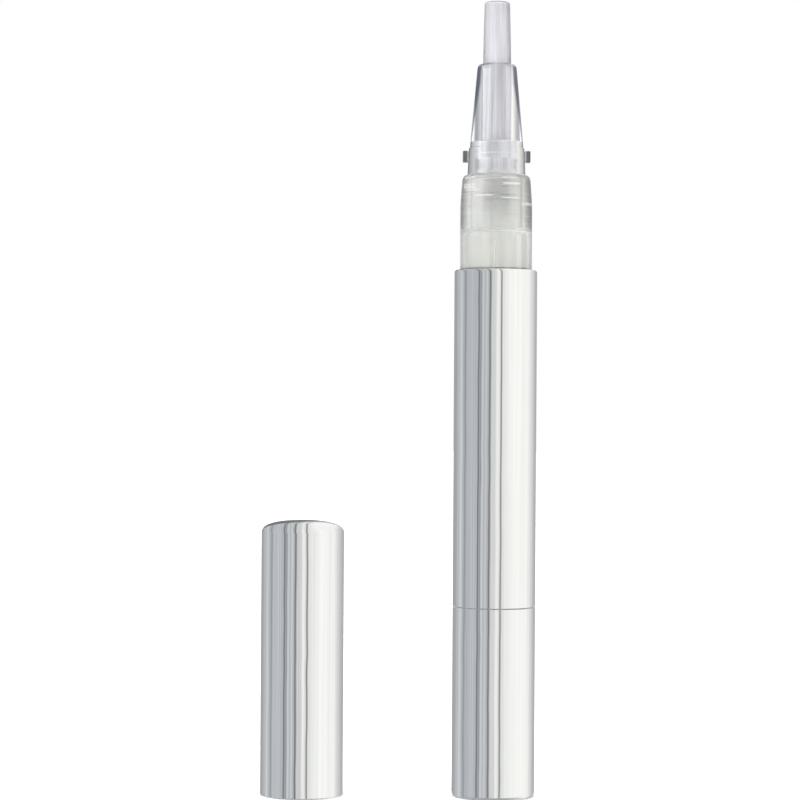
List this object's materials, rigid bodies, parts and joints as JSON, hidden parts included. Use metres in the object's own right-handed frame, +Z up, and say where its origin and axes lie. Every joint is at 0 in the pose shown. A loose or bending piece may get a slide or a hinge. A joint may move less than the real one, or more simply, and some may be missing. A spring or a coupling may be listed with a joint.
{
  "type": "nail oil pen",
  "caption": "Slim round twist-up oil pen with a bristle tip, clear nozzle, milky neck and silver sleeve, its domed cap standing beside it.",
  "frame": {"origin": "centre of the knob's flat end face, on which the pen stands", "axes": "+Z up the pen from the knob to the brush tip; -X towards the cap that stands beside the pen"},
  "size_m": [0.0451, 0.0136, 0.1306],
  "materials": {
    "silver_skin": "bright streaked silver",
    "core_plastic": "moulded white",
    "drive_plastic": "moulded acetal",
    "spring_steel": "drawn wire",
    "piston_plastic": "soft moulded",
    "milky_plastic": "translucent moulded",
    "seal_rubber": "soft translucent",
    "clear_plastic": "clear polished",
    "bristle": "fine white filament"
  },
  "bodies": {
    "barrel": {"front_sleeve": "silver_skin", "tank": "milky_plastic", "housing": "core_plastic", "guide_nut": "drive_plastic", "ratchet_wheel": "drive_plastic", "nozzle_seal": "seal_rubber", "nozzle": "clear_plastic", "brush_clamp": "piston_plastic", "feed_tube": "milky_plastic", "brush": "bristle"},
    "knob": {"knob_sleeve": "silver_skin", "knob_core": "core_plastic", "drive_tube": "drive_plastic", "click_ring": "drive_plastic", "ratchet_spring": "spring_steel"},
    "rod": {"screw_rod": "drive_plastic"},
    "piston": {"piston": "piston_plastic"},
    "cap": {"cap_shell": "silver_skin", "cap_liner": "core_plastic"}
  },
  "joints": [
    {"name": "knob_twist", "type": "hinge", "parent": "barrel", "child": "knob", "pos_m": [0, 0, 0.0265], "axis": [0, 0, 1], "range_deg": [0, 4320]},
    {"name": "rod_feed", "type": "slide", "parent": "knob", "child": "rod", "axis": [0, 0, 1], "range_m": [0, 0.036]},
    {"name": "piston_feed", "type": "slide", "parent": "barrel", "child": "piston", "axis": [0, 0, 1], "range_m": [0, 0.036]},
    {"name": "cap_lift", "type": "slide", "parent": "barrel", "child": "cap", "axis": [0, 0, 1], "range_m": [0, 0.132]}
  ],
  "couplings": [
    {"joint": "rod_feed", "follows": "knob_twist", "m_per_rad": 0.00047746},
    {"joint": "piston_feed", "follows": "knob_twist", "m_per_rad": 0.00047746}
  ]
}
